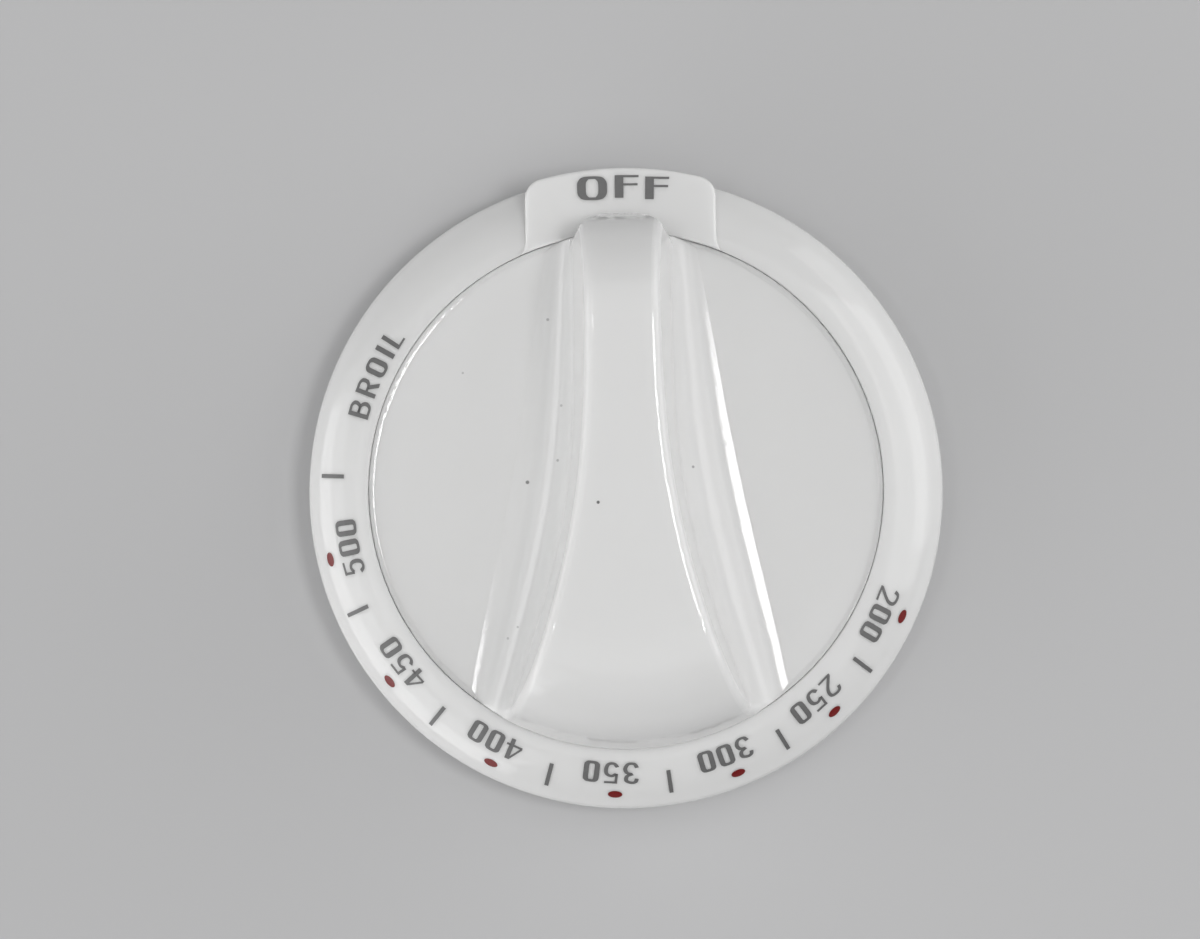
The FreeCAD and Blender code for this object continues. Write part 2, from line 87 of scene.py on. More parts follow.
def pick_only(*pieces: bpy.types.Object) -> None:
    """Deselect everything, then select some objects and make the first one active.

    Args:
        pieces: Objects to select.
    """
    bpy.ops.object.select_all(action="DESELECT")
    for piece in pieces:
        piece.select_set(True)
    bpy.context.view_layer.objects.active = pieces[0]


class NodeBoard:
    """Adds nodes to one shader tree and wires them together."""

    def __init__(self, tree: bpy.types.NodeTree) -> None:
        """Keep the tree and empty it."""
        self.tree = tree
        self.tree.nodes.clear()

    def add(self, kind: str, **settings: object) -> bpy.types.Node:
        """Add one node.

        Args:
            kind: Type name of the node, without its ShaderNode prefix.
            settings: Properties of the node to set.

        Returns:
            The new node.
        """
        prefix = "" if kind.startswith("NodeGroup") else "ShaderNode"
        node = self.tree.nodes.new(prefix + kind)
        for name, value in settings.items():
            setattr(node, name, value)
        return node

    def wire(self, source: bpy.types.NodeSocket, target: bpy.types.NodeSocket) -> None:
        """Link an output socket to an input socket."""
        self.tree.links.new(source, target)

    def place(self) -> bpy.types.NodeSocket:
        """Add the object's own coordinates and give their socket."""
        return self.add("TexCoord").outputs["Object"]

    def noise(self, place: bpy.types.NodeSocket, scale: float | bpy.types.NodeSocket,
              detail: float) -> bpy.types.NodeSocket:
        """Add a cloudy noise.

        Args:
            place: Coordinates of the noise.
            scale: Clouds in a metre, or the socket that gives them.
            detail: How many finer layers the clouds have.

        Returns:
            The socket of the noise's value.
        """
        node = self.add("TexNoise", noise_dimensions="3D")
        node.inputs["Detail"].default_value = detail
        self.wire(place, node.inputs["Vector"])
        if isinstance(scale, bpy.types.NodeSocket):
            self.wire(scale, node.inputs["Scale"])
        else:
            node.inputs["Scale"].default_value = scale
        return node.outputs["Fac"]

    def blend(self, factor: bpy.types.NodeSocket, low: Colour | bpy.types.NodeSocket,
              high: Colour) -> bpy.types.NodeSocket:
        """Mix two colours by a mask.

        Args:
            factor: Mask from 0 to 1.
            low: Colour where the mask is 0, or the socket that gives it.
            high: Colour where the mask is 1.

        Returns:
            The colour socket of the mix.
        """
        mix = self.add("Mix", data_type="RGBA")
        if isinstance(low, bpy.types.NodeSocket):
            self.wire(low, self.colour_socket(mix.inputs, "A"))
        else:
            self.colour_socket(mix.inputs, "A").default_value = (*low, 1.0)
        self.colour_socket(mix.inputs, "B").default_value = (*high, 1.0)
        self.wire(factor, mix.inputs["Factor"])
        return self.colour_socket(mix.outputs, "Result")

    @staticmethod
    def colour_socket(sockets: bpy.types.bpy_prop_collection,
                      name: str) -> bpy.types.NodeSocket:
        """Find the colour socket of a name, which a mix shares with other kinds."""
        return next(s for s in sockets if s.name == name and s.type == "RGBA")

    def remap(self, value: bpy.types.NodeSocket, source: Point,
              target: Point) -> bpy.types.NodeSocket:
        """Stretch a value from one range to another, clamped.

        Args:
            value: Socket to stretch.
            source: Range of the incoming value.
            target: Range of the result.

        Returns:
            The stretched value's socket.
        """
        node = self.add("MapRange", clamp=True)
        labels = ("From Min", "From Max", "To Min", "To Max")
        for label, number in zip(labels, (*source, *target)):
            node.inputs[label].default_value = number
        self.wire(value, node.inputs["Value"])
        return node.outputs["Result"]


class SurfaceGroups:
    """Shader groups that several finishes share. Metres, and clouds in a metre."""

    CLOUD_SCALE = 60.0
    CLOUD_DETAIL = 3.0
    PEEL_SCALE = 900.0
    PEEL_DETAIL = 1.0
    SPECK_RADIUS = 0.0001
    SPECK_DEPTH = 0.08
    SPECK_EDGE = (0.7, 1.1)

    def __init__(self) -> None:
        """Build each group once."""
        self.mould = self.make_mould_skin()
        self.speck = self.make_speck()

    @staticmethod
    def start(name: str, inputs: dict[str, float],
              outputs: tuple[str, ...]) -> tuple[NodeBoard, Sockets, Sockets]:
        """Start a group with named value sockets.

        Args:
            name: Name of the group.
            inputs: Input names with their usual values.
            outputs: Output names.

        Returns:
            The board of the group's tree, its input sockets and its output sockets.
        """
        kind = "NodeSocketFloat"
        tree = bpy.data.node_groups.new(name, "ShaderNodeTree")
        for label, value in inputs.items():
            socket = tree.interface.new_socket(name=label, in_out="INPUT", socket_type=kind)
            socket.default_value = value
        for label in outputs:
            tree.interface.new_socket(name=label, in_out="OUTPUT", socket_type=kind)
        board = NodeBoard(tree)
        given = board.add("NodeGroupInput").outputs
        result = board.add("NodeGroupOutput").inputs
        return board, {s.name: s for s in given if s.name}, {s.name: s for s in result if s.name}

    def make_mould_skin(self) -> bpy.types.NodeTree:
        """Build the skin of a moulding: cloudy gloss and a faint orange peel.

        Returns:
            The group's tree.
        """
        scales = {"Cloud Scale": self.CLOUD_SCALE, "Peel Scale": self.PEEL_SCALE}
        board, given, result = self.start("mould_skin", scales, ("Cloud", "Peel"))
        place = board.place()
        board.wire(board.noise(place, given["Cloud Scale"], self.CLOUD_DETAIL), result["Cloud"])
        board.wire(board.noise(place, given["Peel Scale"], self.PEEL_DETAIL), result["Peel"])
        return board.tree

    def make_speck(self) -> bpy.types.NodeTree:
        """Build one soft-edged speck about a point, drawn out along the height.

        Returns:
            The group's tree.
        """
        sizes = {"Across": 0.0, "Along": 0.0, "Height": 0.0,
                 "Radius": self.SPECK_RADIUS, "Strength": 1.0}
        board, given, result = self.start("dust_speck", sizes, ("Mask",))
        centre = board.add("CombineXYZ")
        for axis, label in zip("XYZ", ("Across", "Along", "Height")):
            board.wire(given[label], centre.inputs[axis])
        away = board.add("VectorMath", operation="SUBTRACT")
        board.wire(board.place(), away.inputs[0])
        board.wire(centre.outputs["Vector"], away.inputs[1])
        flat = board.add("VectorMath", operation="MULTIPLY")
        flat.inputs[1].default_value = (1.0, 1.0, self.SPECK_DEPTH)
        board.wire(away.outputs["Vector"], flat.inputs[0])
        length = board.add("VectorMath", operation="LENGTH")
        board.wire(flat.outputs["Vector"], length.inputs[0])
        share = board.add("Math", operation="DIVIDE")
        board.wire(length.outputs["Value"], share.inputs[0])
        board.wire(given["Radius"], share.inputs[1])
        mask = board.add("Math", operation="MULTIPLY")
        board.wire(board.remap(share.outputs[0], self.SPECK_EDGE, (1.0, 0.0)), mask.inputs[0])
        board.wire(given["Strength"], mask.inputs[1])
        board.wire(mask.outputs[0], result["Mask"])
        return board.tree


def start_material(name: str,
                   shade: Colour) -> tuple[bpy.types.Material, NodeBoard, bpy.types.Node]:
    """Start a node material with one Principled shader.

    Args:
        name: Name of the material.
        shade: Plain colour that the viewport shows.

    Returns:
        The material, the board of its tree and its shader node.
    """
    material = bpy.data.materials.new(name)
    material.use_nodes = True
    material.diffuse_color = (*shade, 1.0)
    board = NodeBoard(material.node_tree)
    shader = board.add("BsdfPrincipled")
    output = board.add("OutputMaterial")
    board.wire(shader.outputs["BSDF"], output.inputs["Surface"])
    return material, board, shader


@dataclass(frozen=True)
class Speck:
    """A dark dust speck: its place and radius in millimetres, and how dark it is."""

    across: float
    along: float
    height: float
    radius: float
    strength: float


@dataclass(frozen=True)
class PlasticFinish:
    """Glossy white moulded plastic with a few dark dust specks.

    The peel's height and the reach of the glow are in millimetres.
    """

    name: str
    specks: tuple[Speck, ...] = ()
    light_tone: Colour = (0.760, 0.760, 0.757)
    deep_tone: Colour = (0.735, 0.735, 0.731)
    speck_tone: Colour = (0.12, 0.12, 0.12)
    gloss_range: Point = (0.05, 0.09)
    peel_strength: float = 0.012
    peel_height: float = 0.2
    index_of_refraction: float = 1.49
    glow_share: float = 1.0
    glow_tint: Colour = (1.0, 1.0, 1.0)
    glow_reach: float = 1.2

    def make(self, groups: SurfaceGroups) -> bpy.types.Material:
        """Build the material.

        Args:
            groups: Shared shader groups.

        Returns:
            The finished material.
        """
        material, board, shader = start_material(self.name, self.light_tone)
        skin = board.add("Group", node_tree=groups.mould)
        tone = board.blend(skin.outputs["Cloud"], self.deep_tone, self.light_tone)
        for speck in self.specks:
            dust = board.add("Group", node_tree=groups.speck)
            for label in ("Across", "Along", "Height", "Radius"):
                dust.inputs[label].default_value = getattr(speck, label.lower()) * MM
            dust.inputs["Strength"].default_value = speck.strength
            tone = board.blend(dust.outputs["Mask"], tone, self.speck_tone)
        board.wire(tone, shader.inputs["Base Color"])
        board.wire(board.remap(skin.outputs["Cloud"], NOISE_SPAN, self.gloss_range),
                   shader.inputs["Roughness"])
        bump = board.add("Bump")
        bump.inputs["Strength"].default_value = self.peel_strength
        bump.inputs["Distance"].default_value = self.peel_height * MM
        board.wire(skin.outputs["Peel"], bump.inputs["Height"])
        board.wire(bump.outputs["Normal"], shader.inputs["Normal"])
        shader.inputs["IOR"].default_value = self.index_of_refraction
        shader.inputs["Subsurface Weight"].default_value = self.glow_share
        shader.inputs["Subsurface Radius"].default_value = self.glow_tint
        shader.inputs["Subsurface Scale"].default_value = self.glow_reach * MM
        return material


@dataclass(frozen=True)
class SteelFinish:
    """Bare or plated steel with a drawn grain, in grains to a metre each way."""

    name: str
    light_tone: Colour
    deep_tone: Colour
    gloss_range: Point
    grain_stretch: tuple[float, float, float]
    grain_scale: float = 1.0
    grain_detail: float = 4.0

    def make(self) -> bpy.types.Material:
        """Build the material.

        Returns:
            The finished material.
        """
        material, board, shader = start_material(self.name, self.light_tone)
        stretch = board.add("Mapping")
        stretch.inputs["Scale"].default_value = self.grain_stretch
        board.wire(board.place(), stretch.inputs["Vector"])
        grain = board.noise(stretch.outputs["Vector"], self.grain_scale, self.grain_detail)
        board.wire(board.blend(grain, self.deep_tone, self.light_tone),
                   shader.inputs["Base Color"])
        board.wire(board.remap(grain, NOISE_SPAN, self.gloss_range), shader.inputs["Roughness"])
        shader.inputs["Metallic"].default_value = 1.0
        return material


@dataclass(frozen=True)
class InkFinish:
    """Pad-printed ink with a slightly uneven coat."""

    name: str
    light_tone: Colour
    deep_tone: Colour
    coat_scale: float = 2500.0
    coat_detail: float = 2.0
    gloss_range: Point = (0.3, 0.42)

    def make(self) -> bpy.types.Material:
        """Build the material.

        Returns:
            The finished material.
        """
        material, board, shader = start_material(self.name, self.light_tone)
        coat = board.noise(board.place(), self.coat_scale, self.coat_detail)
        board.wire(board.blend(coat, self.deep_tone, self.light_tone),
                   shader.inputs["Base Color"])
        board.wire(board.remap(coat, NOISE_SPAN, self.gloss_range), shader.inputs["Roughness"])
        return material


@dataclass(frozen=True)
class FloorFinish:
    """Plain pale matt floor with the faintest clouding."""

    name: str = "pale_floor"
    light_tone: Colour = (0.50, 0.50, 0.505)
    deep_tone: Colour = (0.48, 0.48, 0.485)
    cloud_scale: float = 14.0
    cloud_detail: float = 2.0
    roughness: float = 0.7

    def make(self) -> bpy.types.Material:
        """Build the material.

        Returns:
            The finished material.
        """
        material, board, shader = start_material(self.name, self.light_tone)
        cloud = board.noise(board.place(), self.cloud_scale, self.cloud_detail)
        board.wire(board.blend(cloud, self.deep_tone, self.light_tone),
                   shader.inputs["Base Color"])
        shader.inputs["Roughness"].default_value = self.roughness
        return material


GRIP_DUST = (
    Speck(-2.68, -1.45, 21.2, 0.17, 0.95),
    Speck(-9.70, 0.95, 9.0, 0.20, 0.75),
    Speck(6.65, 2.10, 11.1, 0.15, 0.55),
    Speck(-7.40, 17.0, 9.0, 0.16, 0.45),
    Speck(-6.65, 3.00, 10.9, 0.15, 0.45),
    Speck(-6.20, 8.40, 10.6, 0.14, 0.40),
    Speck(-10.9, -13.3, 10.1, 0.13, 0.40),
    Speck(-11.9, -14.4, 9.6, 0.14, 0.35),
    Speck(-15.9, 11.9, 8.7, 0.13, 0.35),
)

SKIRT_WHITE = PlasticFinish("skirt_white")
GRIP_WHITE = PlasticFinish("grip_white", GRIP_DUST)
SPRING_STRIP = SteelFinish(
    "spring_strip", light_tone=(0.50, 0.50, 0.51), deep_tone=(0.36, 0.36, 0.37),
    gloss_range=(0.26, 0.40), grain_stretch=(120.0, 120.0, 2600.0))
ZINC_PLATE = SteelFinish(
    "zinc_plate", light_tone=(0.72, 0.72, 0.70), deep_tone=(0.60, 0.60, 0.57),
    gloss_range=(0.20, 0.34), grain_stretch=(900.0, 900.0, 900.0))
GREY_INK = InkFinish(
    "grey_ink", light_tone=(0.155, 0.155, 0.155), deep_tone=(0.125, 0.125, 0.125))
RED_INK = InkFinish(
    "red_ink", light_tone=(0.19, 0.010, 0.010), deep_tone=(0.15, 0.007, 0.007))


@dataclass(frozen=True)
class Nib:
    """Flat pen that draws the lettering: wide on upright strokes, thin on level ones.

    Half sizes in millimetres.
    """

    across: float
    along: float

    def offset(self, normal: Vector) -> Vector:
        """Give the nib's edge in the direction of a stroke's normal."""
        reach = math.hypot(self.across * normal.x, self.along * normal.y)
        return Vector((self.across ** 2 * normal.x, self.along ** 2 * normal.y)) / reach


def spline_point(a: Vector, b: Vector, c: Vector, d: Vector, t: float) -> Vector:
    """Give a point of the smooth curve between the middle two of four knots.

    Args:
        a: Knot before the span.
        b: Knot where the span starts.
        c: Knot where the span ends.
        d: Knot after the span.
        t: Share of the span, from 0 to 1.

    Returns:
        The point on the curve.
    """
    return 0.5 * ((2 * b) + (c - a) * t + (2 * a - 5 * b + 4 * c - d) * t ** 2
                  + (3 * b - a - 3 * c + d) * t ** 3)


@dataclass(frozen=True)
class Stroke:
    """One pull of the pen through points in millimetres about the letter's middle."""

    nib: Nib
    points: tuple[Point, ...]
    closed: bool = False

    SAMPLES: ClassVar[int] = 7
    COLUMNS: ClassVar[int] = 4

    def path(self) -> list[Vector]:
        """Draw the smooth line through the points.

        Returns:
            Points along the line.
        """
        knots = [Vector(point) for point in self.points]
        if len(knots) == 2:
            return [knots[0].lerp(knots[1], i / self.SAMPLES) for i in range(self.SAMPLES + 1)]
        count = len(knots)
        spans = count if self.closed else count - 1
        line = []
        for i in range(spans):
            if self.closed:
                a, b, c, d = (knots[(i + k) % count] for k in (-1, 0, 1, 2))
            else:
                b, c = knots[i], knots[i + 1]
                a = knots[i - 1] if i else b * 2 - c
                d = knots[i + 2] if i + 2 < count else c * 2 - b
            line += [spline_point(a, b, c, d, step / self.SAMPLES)
                     for step in range(self.SAMPLES)]
        if not self.closed:
            line.append(knots[-1])
        return line

    def ribbon(self) -> tuple[list[Vector], list[tuple[int, ...]]]:
        """Spread the line into the inked band.

        Returns:
            The band's vertices and its faces.
        """
        line = self.path()
        count = len(line)
        verts = []
        for i, middle in enumerate(line):
            before = line[i - 1] if self.closed or i else line[i]
            after = line[(i + 1) % count] if self.closed or i + 1 < count else line[i]
            way = (after - before).normalized()
            edge = self.nib.offset(Vector((-way.y, way.x)))
            verts += [middle + edge * (2 * k / self.COLUMNS - 1)
                      for k in range(self.COLUMNS + 1)]
        row = self.COLUMNS + 1
        faces = []
        for i in range(count if self.closed else count - 1):
            here, there = i * row, (i + 1) % count * row
            faces += [(here + k, there + k, there + k + 1, here + k + 1)
                      for k in range(self.COLUMNS)]
        return verts, faces


Glyph = tuple[Stroke, ...]
CORNER_STEPS = (15, 45, 75)


def rounded_loop(half_width: float, half_height: float, corner: float) -> tuple[Point, ...]:
    """Give a closed loop with round corners for an O or a zero.

    Args:
        half_width: Half width of the pen's line.
        half_height: Half height of the pen's line.
        corner: Radius of its corners.

    Returns:
        Points round the loop, counter-clockwise.
    """
    points = []
    for quarter, (side, up) in enumerate(((1, 1), (-1, 1), (-1, -1), (1, -1))):
        middle = (side * (half_width - corner), up * (half_height - corner))
        for step in CORNER_STEPS:
            turn = math.radians(quarter * 90 + step)
            points.append((middle[0] + corner * math.cos(turn),
                           middle[1] + corner * math.sin(turn)))
        if quarter % 2:
            points.append((-half_width if side < 0 else half_width, 0.0))
    return tuple(points)


STEM = Nib(0.22, 0.11)
HAIR = Nib(0.10, 0.10)
ROUND = Nib(0.20, 0.12)
HEAVY = Nib(0.26, 0.13)
SWEEP = Nib(0.18, 0.12)
SLIM = Nib(0.13, 0.1)
POST = Nib(0.25, 0.1)
POSTER_STEM = Nib(0.43, 0.11)
POSTER_HAIR = Nib(0.11, 0.11)
POSTER_ROUND = Nib(0.43, 0.14)

GLYPHS: dict[str, Glyph] = {
    "0": (Stroke(HEAVY, rounded_loop(0.53, 0.92, 0.33), closed=True),),
    "2": (
        Stroke(SWEEP, ((-0.64, 0.52), (-0.46, 0.86), (0.0, 0.95), (0.50, 0.80),
                       (0.58, 0.42), (0.30, -0.05), (-0.60, -0.86))),
        Stroke(HAIR, ((-0.76, -0.93), (0.76, -0.93))),
    ),
    "3": (
        Stroke(ROUND, ((-0.58, 0.56), (-0.42, 0.88), (0.0, 0.95), (0.47, 0.74),
                       (0.40, 0.30), (-0.18, 0.08))),
        Stroke(ROUND, ((-0.10, 0.09), (0.40, -0.06), (0.56, -0.48), (0.26, -0.91),
                       (-0.34, -0.92), (-0.60, -0.55))),
    ),
    "4": (
        Stroke(STEM, ((0.31, -1.05), (0.31, 1.05))),
        Stroke(HAIR, ((0.14, 0.98), (-0.76, -0.34))),
        Stroke(HAIR, ((-0.82, -0.40), (0.82, -0.40))),
    ),
    "5": (
        Stroke(HAIR, ((-0.64, 0.95), (0.66, 0.95))),
        Stroke(SLIM, ((-0.50, 0.86), (-0.56, 0.06))),
        Stroke(ROUND, ((-0.52, 0.08), (-0.05, 0.30), (0.42, 0.12), (0.52, -0.36),
                       (0.30, -0.86), (-0.26, -0.93), (-0.60, -0.60))),
    ),
    "O": (Stroke(HEAVY, rounded_loop(0.56, 0.94, 0.45), closed=True),),
    "B": (
        Stroke(STEM, ((-0.58, -1.05), (-0.58, 1.05))),
        Stroke(ROUND, ((-0.36, 0.93), (0.18, 0.93), (0.50, 0.74), (0.52, 0.40),
                       (0.26, 0.10), (-0.36, 0.07))),
        Stroke(ROUND, ((-0.36, 0.07), (0.28, 0.04), (0.60, -0.22), (0.62, -0.58),
                       (0.32, -0.90), (-0.36, -0.93))),
    ),
    "R": (
        Stroke(STEM, ((-0.58, -1.05), (-0.58, 1.05))),
        Stroke(ROUND, ((-0.36, 0.93), (0.20, 0.93), (0.54, 0.72), (0.54, 0.26),
                       (0.22, 0.0), (-0.36, -0.02))),
        Stroke(STEM, ((0.02, -0.02), (0.58, -1.05))),
    ),
    "I": (Stroke(POST, ((0.0, -1.05), (0.0, 1.05))),),
    "L": (
        Stroke(STEM, ((-0.44, -1.05), (-0.44, 1.05))),
        Stroke(HAIR, ((-0.22, -0.94), (0.62, -0.94))),
    ),
}

POSTER_GLYPHS: dict[str, Glyph] = {
    "O": (Stroke(POSTER_ROUND, rounded_loop(1.05, 1.07, 0.72), closed=True),),
    "F": (
        Stroke(POSTER_STEM, ((-0.76, -1.14), (-0.76, 1.14))),
        Stroke(POSTER_HAIR, ((-0.33, 1.03), (1.18, 1.03))),
        Stroke(POSTER_HAIR, ((-0.33, 0.20), (1.08, 0.20))),
    ),
}


@dataclass
class DialPrint:
    """The printed scale on the skirt: words, numbers, half-step ticks and red dots.

    Sizes in millimetres in plan, angles in degrees of the dial. The flat marks are drawn
    at the drop height, above the knob, and then dropped onto the skirt.
    """

    number_radius: float = 27.95
    number_pitch: float = 1.96
    dot_radius: float = 30.1
    dot_half: Point = (0.72, 0.34)
    dot_corners: int = 40
    dot_rings: int = 3
    dot_ring_width: float = 0.24
    tick_radius: float = 29.1
    tick_half: Point = (0.20, 1.15)
    tick_strips: tuple[int, int] = (3, 12)
    broil_angle: float = 296.05
    broil_radius: float = 27.5
    off_angle: float = 0.6
    off_radius: float = 30.1
    off_turn: float = 0.2
    ink_lift: float = 0.012
    ink_depth: float = 0.024
    drop_height: float = 25.0

    NUMBERS: ClassVar[dict[str, float]] = {
        "200": 117.1, "250": 138.9, "300": 160.5, "350": 184.1,
        "400": 208.6, "450": 233.3, "500": 259.4,
    }
    DOTS: ClassVar[tuple[float, ...]] = (115.6, 137.75, 159.4, 183.15, 207.5, 232.2, 258.0)
    TICKS: ClassVar[tuple[float, ...]] = (127.5, 148.9, 172.5, 196.25, 221.0, 246.9, 273.9)
    # Letters with their shifts along the arc.
    BROIL: ClassVar[tuple[tuple[str, float], ...]] = (
        ("B", -3.84), ("R", -1.56), ("O", 0.63), ("I", 2.37), ("L", 3.94))
    OFF: ClassVar[tuple[tuple[str, float], ...]] = (("O", -3.09), ("F", 0.35), ("F", 3.37))

    def build(self, grey: bpy.types.Material,
              red: bpy.types.Material) -> list[bpy.types.Object]:
        """Print the whole scale on the skirt.

        Args:
            grey: Ink of the words, numbers and ticks.
            red: Ink of the dots.

        Returns:
            The printed pieces.
        """
        pieces = []
        for number, angle in self.NUMBERS.items():
            middle = len(number) // 2
            digits = [(GLYPHS[char], (place - middle) * self.number_pitch)
                      for place, char in enumerate(number)]
            flat = self.word(f"print_{number}", digits, angle, self.number_radius)
            pieces.append(self.settle(flat, grey))
        broil = [(GLYPHS[char], shift) for char, shift in self.BROIL]
        flat = self.word("print_broil", broil, self.broil_angle, self.broil_radius)
        pieces.append(self.settle(flat, grey))
        off = [(POSTER_GLYPHS[char], shift) for char, shift in self.OFF]
        flat = self.word("print_off", off, self.off_angle, self.off_radius, self.off_turn)
        pieces.append(self.settle(flat, grey))
        flat = self.marks("print_ticks", self.tick, self.TICKS, self.tick_radius)
        pieces.append(self.settle(flat, grey))
        flat = self.marks("print_red_dots", self.dot, self.DOTS, self.dot_radius)
        pieces.append(self.settle(flat, red))
        return pieces

    def word(self, name: str, letters: list[tuple[Glyph, float]], angle: float,
             radius: float, share: float = 1.0) -> bpy.types.Object:
        """Draw a word whose letters stand on an arc round the shaft axis.

        Args:
            name: Name of the piece.
            letters: Strokes of each letter with its shift along the arc.
            angle: Angle of the word's middle on the dial.
            radius: Radius of the letters' middle line.
            share: How far the letters turn with the arc, from 0 to 1.

        Returns:
            The flat word, above its place on the skirt.
        """
        verts, faces = [], []
        for strokes, shift in letters:
            swing = math.degrees(shift / radius)
            stand = Vector((0.0, radius, 0.0))
            upright = (Matrix.Translation(stand) @ dial_matrix(-swing * (1.0 - share))
                       @ Matrix.Translation(-stand))
            turn = dial_matrix(angle + swing) @ upright
            for stroke in strokes:
                points, quads = stroke.ribbon()
                faces += [tuple(index + len(verts) for index in quad) for quad in quads]
                verts += [turn @ Vector((point.x, point.y + radius, self.drop_height)) * MM
                          for point in points]
        mesh = bpy.data.meshes.new(name)
        mesh.from_pydata([tuple(vert) for vert in verts], [], faces)
        piece = bpy.data.objects.new(name, mesh)
        bpy.context.collection.objects.link(piece)
        return piece

    def tick(self) -> bpy.types.Object:
        """Model one tick: a narrow plate, cut into strips along its length.

        Returns:
            The tick about the origin.
        """
        across, along = self.tick_half
        columns, rows = self.tick_strips
        bpy.ops.mesh.primitive_grid_add(x_subdivisions=columns, y_subdivisions=rows, size=2 * MM)
        tick = bpy.context.object
        tick.data.transform(Matrix.Diagonal((across, along, 1.0, 1.0)))
        return tick

    def dot(self) -> bpy.types.Object:
        """Model one dot: a round plate in rings, drawn out round the dial.

        Returns:
            The dot about the origin.
        """
        across, along = self.dot_half
        bpy.ops.mesh.primitive_circle_add(vertices=self.dot_corners, radius=MM, fill_type="NGON")
        dot = bpy.context.object
        bpy.ops.object.mode_set(mode="EDIT")
        bpy.ops.mesh.select_all(action="SELECT")
        for _ in range(self.dot_rings):
            bpy.ops.mesh.inset(thickness=self.dot_ring_width * MM)
        bpy.ops.mesh.poke()
        bpy.ops.object.mode_set(mode="OBJECT")
        dot.data.transform(Matrix.Diagonal((across, along, 1.0, 1.0)))
        return dot

    def marks(self, name: str, model: Callable[[], bpy.types.Object],
              angles: tuple[float, ...], radius: float) -> bpy.types.Object:
        """Model a mark once and repeat it round the dial as one piece.

        Args:
            name: Name of the piece.
            model: Method that models the mark about the origin.
            angles: Angles of the marks on the dial.
            radius: Radius of their middles.

        Returns:
            The joined flat marks, above their places on the skirt.
        """
        bpy.ops.object.select_all(action="DESELECT")
        first = model()
        reach = Matrix.Translation(Vector((0.0, radius * MM, self.drop_height * MM)))
        copies = []
        for angle in angles:
            copy = first.copy()
            copy.data = first.data.copy()
            copy.data.transform(dial_matrix(angle) @ reach)
            bpy.context.collection.objects.link(copy)
            copies.append(copy)
        bpy.data.objects.remove(first)
        pick_only(*copies)
        bpy.ops.object.join()
        piece = bpy.context.object
        piece.name = name
        return piece

    def settle(self, piece: bpy.types.Object, ink: bpy.types.Material) -> bpy.types.Object:
        """Drop a flat mark onto the skirt, give it the ink's thickness and dress it.

        Args:
            piece: Flat mark above its place.
            ink: Its material.

        Returns:
            The finished mark.
        """
        pick_only(piece)
        drop = piece.modifiers.new("drop", "SHRINKWRAP")
        drop.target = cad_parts[Node.DIAL_SKIRT.value]
        drop.wrap_method = "PROJECT"
        drop.use_project_z = True
        drop.use_negative_direction = True
        drop.use_positive_direction = False
        drop.offset = self.ink_lift * MM
        bpy.ops.object.modifier_apply(modifier=drop.name)
        coat = piece.modifiers.new("coat", "SOLIDIFY")
        coat.thickness = self.ink_depth * MM
        coat.offset = -1.0
        bpy.ops.object.modifier_apply(modifier=coat.name)
        bpy.ops.object.mode_set(mode="EDIT")
        bpy.ops.mesh.select_all(action="SELECT")
        bpy.ops.mesh.normals_make_consistent(inside=False)
        bpy.ops.object.mode_set(mode="OBJECT")
        piece.data.materials.append(ink)
        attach(piece, Body.SKIRT.value)
        return piece


@dataclass
class KnobMouldings:
    """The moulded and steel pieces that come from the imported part, with their finishes."""

    skirt: PlasticFinish = SKIRT_WHITE
    grip: PlasticFinish = GRIP_WHITE
    spring_clip: SteelFinish = SPRING_STRIP
    screws: SteelFinish = ZINC_PLATE

    def dress(self, groups: SurfaceGroups) -> list[bpy.types.Object]:
        """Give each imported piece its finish.

        Args:
            groups: Shared shader groups.

        Returns:
            The dressed pieces.
        """
        finishes = {
            Node.DIAL_SKIRT: self.skirt.make(groups),
            Node.GRIP: self.grip.make(groups),
            Node.SPRING_CLIP: self.spring_clip.make(),
            Node.SCREWS: self.screws.make(),
        }
        pieces = []
        for node, material in finishes.items():
            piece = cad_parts[node.value]
            piece.data.materials.clear()
            piece.data.materials.append(material)
            pieces.append(piece)
        return pieces


@dataclass(frozen=True)
class SoftPanel:
    """A soft light that faces the knob. Degrees, metres and watts."""

    name: str
    angle: float
    elevation: float
    distance: float
    width: float
    depth: float
    watts: float

    def build(self) -> None:
        """Hang the light at its angle of the dial and its elevation above the floor."""
        level = math.cos(math.radians(self.elevation)) * self.distance
        turn = math.radians(self.angle)
        place = Vector((level * math.sin(turn), level * math.cos(turn),
                        math.sin(math.radians(self.elevation)) * self.distance))
        bpy.ops.object.light_add(type="AREA", location=place)
        lamp = bpy.context.object
        lamp.name = self.name
        lamp.data.shape = "RECTANGLE"
        lamp.data.size = self.width
        lamp.data.size_y = self.depth
        lamp.data.energy = self.watts
        lamp.rotation_euler = (-place).to_track_quat("-Z", "Y").to_euler()


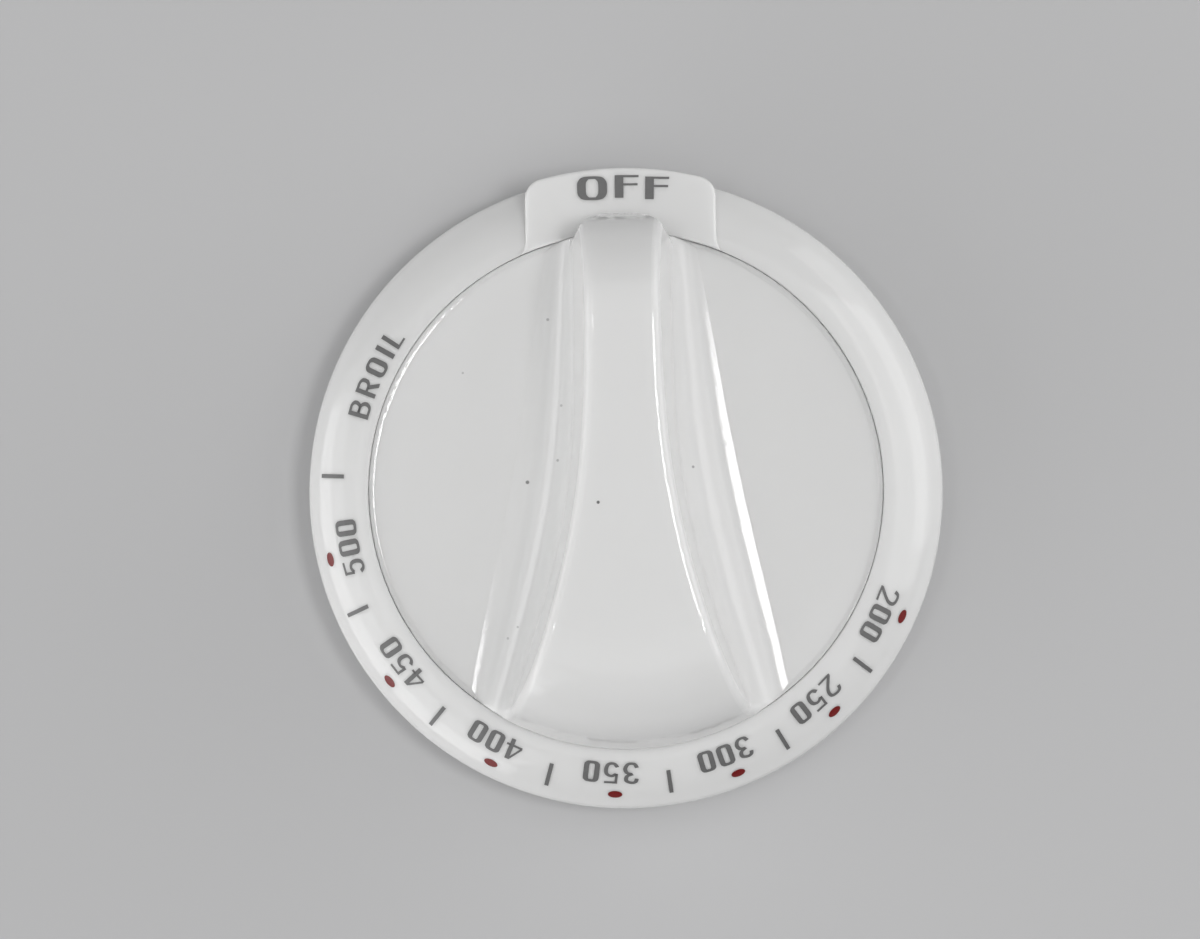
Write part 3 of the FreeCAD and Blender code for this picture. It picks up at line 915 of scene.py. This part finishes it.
@dataclass
class Studio:
    """Floor, room light and soft panels round the knob. Sizes in metres."""

    floor_half: float = 2.0
    room_tone: Colour = (1.0, 1.0, 1.0)
    room_strength: float = 0.04

    # Name, angle, elevation, distance, width, depth and watts.
    PANELS: ClassVar[tuple[SoftPanel, ...]] = (
        SoftPanel("ceiling", 90.0, 88.0, 1.2, 2.0, 2.2, 8.6),
        SoftPanel("right_panel", 92.0, 70.0, 1.0, 0.26, 0.22, 2.3),
        SoftPanel("left_panel", 264.0, 72.0, 1.0, 0.12, 0.12, 0.5),
        SoftPanel("right_wall", 80.0, 28.0, 1.2, 1.3, 0.9, 4.6),
        SoftPanel("left_wall", 252.0, 26.0, 1.2, 2.4, 1.4, 5.8),
        SoftPanel("left_mid", 248.0, 15.0, 1.2, 2.2, 0.9, 5.2),
        SoftPanel("left_low", 246.0, 7.0, 1.2, 2.2, 0.5, 4.6),
        SoftPanel("right_low", 68.0, 10.0, 1.2, 1.5, 0.7, 3.6),
    )

    def build(self) -> None:
        """Lay the floor, light the room and hang the panels."""
        bpy.ops.object.select_all(action="DESELECT")
        bpy.ops.mesh.primitive_plane_add(size=self.floor_half * 2)
        floor = bpy.context.object
        floor.name = "floor"
        floor.data.materials.append(FloorFinish().make())
        world = bpy.data.worlds.new("room")
        world.use_nodes = True
        sky = world.node_tree.nodes["Background"]
        sky.inputs["Color"].default_value = (*self.room_tone, 1.0)
        sky.inputs["Strength"].default_value = self.room_strength
        bpy.context.scene.world = world
        for panel in self.PANELS:
            panel.build()


@dataclass
class PhotoCamera:
    """Camera almost straight above the dial. Millimetres and degrees."""

    eye: tuple[float, float, float] = (0.0, -11.5, 430.0)
    aim: tuple[float, float, float] = (-2.57, 2.37, 0.0)
    roll: float = 1.1
    field_width: float = 121.0
    sensor_width: float = 36.0
    near_limit: float = 10.0

    def build(self) -> None:
        """Place the camera, turn it and set its lens from the field of view."""
        eye, aim = Vector(self.eye) * MM, Vector(self.aim) * MM
        back = (eye - aim).normalized()
        right = Vector((0.0, 1.0, 0.0)).cross(back).normalized()
        view = Matrix((right, back.cross(right), back)).transposed().to_4x4()
        bpy.ops.object.camera_add()
        camera = bpy.context.object
        camera.name = "photo_camera"
        camera.matrix_world = (Matrix.Translation(eye) @ view
                               @ Matrix.Rotation(-math.radians(self.roll), 4, "Z"))
        camera.data.sensor_fit = "HORIZONTAL"
        camera.data.sensor_width = self.sensor_width
        camera.data.lens = self.sensor_width * (aim - eye).length / (self.field_width * MM)
        camera.data.clip_start = self.near_limit * MM
        bpy.context.scene.camera = camera


def main() -> None:
    """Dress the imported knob, print its scale and set up floor, light and camera."""
    logging.basicConfig(level=logging.INFO, format="%(name)s: %(message)s")
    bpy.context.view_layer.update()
    pieces = KnobMouldings().dress(SurfaceGroups())
    pieces += DialPrint().build(GREY_INK.make(), RED_INK.make())
    for piece in pieces:
        log.info("%s: %d faces, dressed in %s", piece.name, len(piece.data.polygons),
                 piece.data.materials[0].name)
    Studio().build()
    PhotoCamera().build()
    bpy.context.scene.view_settings.view_transform = "Standard"


if __name__ == "__main__":
    main()
